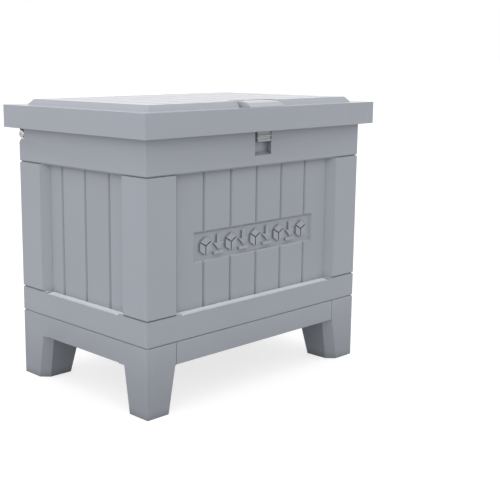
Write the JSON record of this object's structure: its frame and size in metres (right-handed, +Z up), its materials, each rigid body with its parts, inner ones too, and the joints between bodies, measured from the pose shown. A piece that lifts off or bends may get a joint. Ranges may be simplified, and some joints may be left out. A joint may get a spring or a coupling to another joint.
{
  "type": "parcel drop box",
  "caption": "Free-standing porch parcel box: planked plastic chest on tapered legs, overhanging hinged lid with a motor-driven lock, finger pocket and lift tab.",
  "frame": {"origin": "on the floor under the middle of the box", "axes": "+X to the right along the width as the front is faced, +Y towards the rear hinge, +Z up; the front faces -Y"},
  "size_m": [0.642, 0.435, 0.569],
  "materials": {
    "shell_plastic": "satin moulded slate grey",
    "inner_plastic": "satin moulded, a shade darker",
    "tab_plastic": "satin moulded light grey",
    "lock_plastic": "fine textured black",
    "steel": "zinc plated, bright",
    "screw_steel": "zinc plated",
    "nickel_plate": "nickel plated",
    "board": "lacquered circuit board",
    "battery_sleeve": "plain printed sleeve",
    "gear_plastic": "natural acetal"
  },
  "bodies": {
    "box": {"corner_post_front_left": "shell_plastic", "corner_post_front_right": "shell_plastic", "corner_post_rear_left": "shell_plastic", "corner_post_rear_right": "shell_plastic", "floor_panel": "inner_plastic", "front_panel": "shell_plastic", "front_skirt": "shell_plastic", "hinge_cap_left": "nickel_plate", "hinge_cap_right": "nickel_plate", "hinge_rod": "steel", "left_leg_frame": "shell_plastic", "left_panel": "shell_plastic", "lower_frame": "shell_plastic", "rear_panel": "shell_plastic", "rear_skirt": "shell_plastic", "right_leg_frame": "shell_plastic", "right_panel": "shell_plastic", "strike_plate": "steel", "strike_screw_left": "screw_steel", "strike_screw_right": "screw_steel", "upper_frame": "shell_plastic"},
    "lid": {"lid_shell": "shell_plastic", "lid_liner": "inner_plastic", "lock_cover": "shell_plastic", "lift_tab": "tab_plastic", "lock_housing": "lock_plastic", "housing_cover": "lock_plastic", "battery_tray": "lock_plastic", "contact_strip_front": "nickel_plate", "contact_strip_rear": "nickel_plate", "battery_1": "battery_sleeve", "battery_2": "battery_sleeve", "battery_3": "battery_sleeve", "battery_4": "battery_sleeve", "circuit_board": "board", "gear_motor": "steel", "bolt_guide": "steel", "door_pin": "steel", "cover_screw_front_left": "screw_steel", "cover_screw_front_right": "screw_steel", "cover_screw_rear_left": "screw_steel", "cover_screw_rear_right": "screw_steel", "liner_screw_front_left": "screw_steel", "liner_screw_front_right": "screw_steel", "liner_screw_rear_left": "screw_steel", "liner_screw_rear_middle_left": "screw_steel", "liner_screw_rear_middle_right": "screw_steel", "liner_screw_rear_right": "screw_steel", "lock_screw_front_left": "screw_steel", "lock_screw_front_right": "screw_steel", "lock_screw_rear_left": "screw_steel", "lock_screw_rear_right": "screw_steel"},
    "bolt": {"lock_bolt": "steel"},
    "pinion": {"drive_pinion": "gear_plastic", "motor_shaft": "steel"},
    "battery_hatch": {"battery_door": "lock_plastic"}
  },
  "joints": [
    {"name": "lid_hinge", "type": "hinge", "parent": "box", "child": "lid", "pos_m": [0, 0.1885, 0.5], "axis": [-1, 0, 0], "range_deg": [0, 100]},
    {"name": "bolt_slide", "type": "slide", "parent": "lid", "child": "bolt", "axis": [0, -1, 0], "range_m": [0, 0.012]},
    {"name": "pinion_spin", "type": "hinge", "parent": "lid", "child": "pinion", "pos_m": [0.035, -0.135, 0.5067], "axis": [-1, 0, 0], "range_deg": [0, 92]},
    {"name": "battery_door_hinge", "type": "hinge", "parent": "lid", "child": "battery_hatch", "pos_m": [-0.034, -0.09975, 0.4755], "axis": [1, 0, 0], "range_deg": [0, 100]}
  ],
  "couplings": [
    {"joint": "pinion_spin", "follows": "bolt_slide", "rad_per_m": 133.33}
  ]
}
